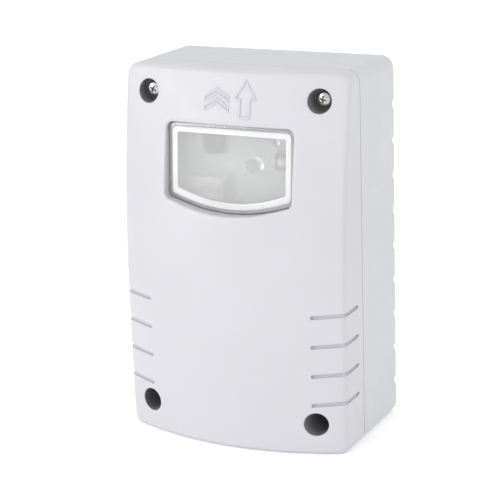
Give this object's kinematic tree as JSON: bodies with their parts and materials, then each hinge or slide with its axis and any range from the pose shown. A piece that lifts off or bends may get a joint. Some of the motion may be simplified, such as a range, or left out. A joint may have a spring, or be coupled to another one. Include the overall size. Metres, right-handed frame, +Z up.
{
  "type": "automatic coop door",
  "caption": "Wall-mounted electric opener for a sliding poultry coop door: a crowned case with a light-sensing window, a battery bay and a geared cord winder.",
  "frame": {"origin": "middle of the flat face that lies against the coop wall", "axes": "+Z up the case's length, +Y into the wall, +X to the right seen from the front"},
  "size_m": [0.084, 0.0546, 0.13],
  "materials": {
    "housing_plastic": "satin",
    "cover_plastic": "satin",
    "clear_plastic": "clear, hazed",
    "seal_rubber": "matt silicone",
    "screw_steel": "bright zinc plate",
    "shaft_steel": "ground",
    "spring_steel": "nickel plate",
    "brass": "turned",
    "gear_plastic": "moulded",
    "frame_plastic": "moulded",
    "cell_sleeve": "printed film",
    "motor_steel": "plated",
    "board_white": "white solder mask",
    "part_black": "moulded",
    "part_white": "moulded",
    "wire_red": "insulation",
    "wire_black": "insulation"
  },
  "bodies": {
    "case": {"battery_1": "cell_sleeve", "battery_2": "cell_sleeve", "battery_3": "cell_sleeve", "battery_4": "cell_sleeve", "battery_contact_negative": "spring_steel", "battery_contact_positive": "spring_steel", "battery_lead_black": "wire_black", "battery_lead_red": "wire_red", "battery_link_lower_left": "spring_steel", "battery_link_lower_right": "spring_steel", "battery_link_upper": "spring_steel", "battery_spring_1": "spring_steel", "battery_spring_2": "spring_steel", "battery_spring_3": "spring_steel", "battery_spring_4": "spring_steel", "battery_tray": "frame_plastic", "board_screw_1": "screw_steel", "board_screw_2": "screw_steel", "button_body": "part_black", "circuit_board": "board_white", "controller_chip": "part_black", "cord_eyelet": "brass", "drum_bush_front": "brass", "drum_bush_rear": "brass", "frame_screw_1": "screw_steel", "frame_screw_2": "screw_steel", "frame_screw_3": "screw_steel", "frame_screw_4": "screw_steel", "gear_frame": "frame_plastic", "gear_frame_plate": "frame_plastic", "housing_seal": "seal_rubber", "lever_pin": "shaft_steel", "light_sensor": "clear_plastic", "limit_switch": "part_black", "motor_can": "motor_steel", "motor_end_cap": "part_white", "motor_lead_black": "wire_black", "motor_lead_red": "wire_red", "rear_housing": "housing_plastic", "reduction_bush_front": "brass", "reduction_bush_rear": "brass", "status_led": "clear_plastic", "terminal_block": "part_white", "worm_bush": "brass"},
    "cover": {"front_cover": "cover_plastic", "window_pane": "clear_plastic", "window_seal": "seal_rubber", "cover_screw_bottom_left": "screw_steel", "cover_screw_bottom_right": "screw_steel", "cover_screw_top_left": "screw_steel", "cover_screw_top_right": "screw_steel"},
    "drum": {"winding_drum": "gear_plastic", "drum_shaft": "shaft_steel"},
    "reduction": {"reduction_gear": "gear_plastic", "reduction_shaft": "shaft_steel"},
    "worm_drive": {"worm": "gear_plastic", "motor_shaft": "shaft_steel"},
    "lever": {"limit_lever": "spring_steel"},
    "button": {"button_cap": "part_white"}
  },
  "joints": [
    {"name": "cover_lift_off", "type": "slide", "parent": "case", "child": "cover", "axis": [0, -1, 0], "range_m": [0, 0.06]},
    {"name": "drum_spin", "type": "hinge", "parent": "case", "child": "drum", "pos_m": [-0.008, 0, 0.035], "axis": [0, 1, 0], "continuous": true},
    {"name": "reduction_spin", "type": "hinge", "parent": "case", "child": "reduction", "pos_m": [0.016, 0, 0.035], "axis": [0, 1, 0], "continuous": true},
    {"name": "worm_spin", "type": "hinge", "parent": "case", "child": "worm_drive", "pos_m": [0.0315, -0.0155, 0.035], "axis": [0, 0, 1], "continuous": true},
    {"name": "limit_lever_hinge", "type": "hinge", "parent": "case", "child": "lever", "pos_m": [-0.0185, -0.022, -0.0584], "axis": [0, -1, 0], "range_deg": [0, 7], "stiffness_Nm_per_rad": 0.002, "springref_deg": -20.05},
    {"name": "button_press", "type": "slide", "parent": "case", "child": "button", "axis": [0, 1, 0], "range_m": [0, 0.0005], "stiffness_N_per_m": 800, "springref_m": -0.0006}
  ],
  "couplings": [
    {"joint": "reduction_spin", "follows": "worm_spin", "ratio": 0.033333},
    {"joint": "drum_spin", "follows": "worm_spin", "ratio": -0.0083333}
  ]
}
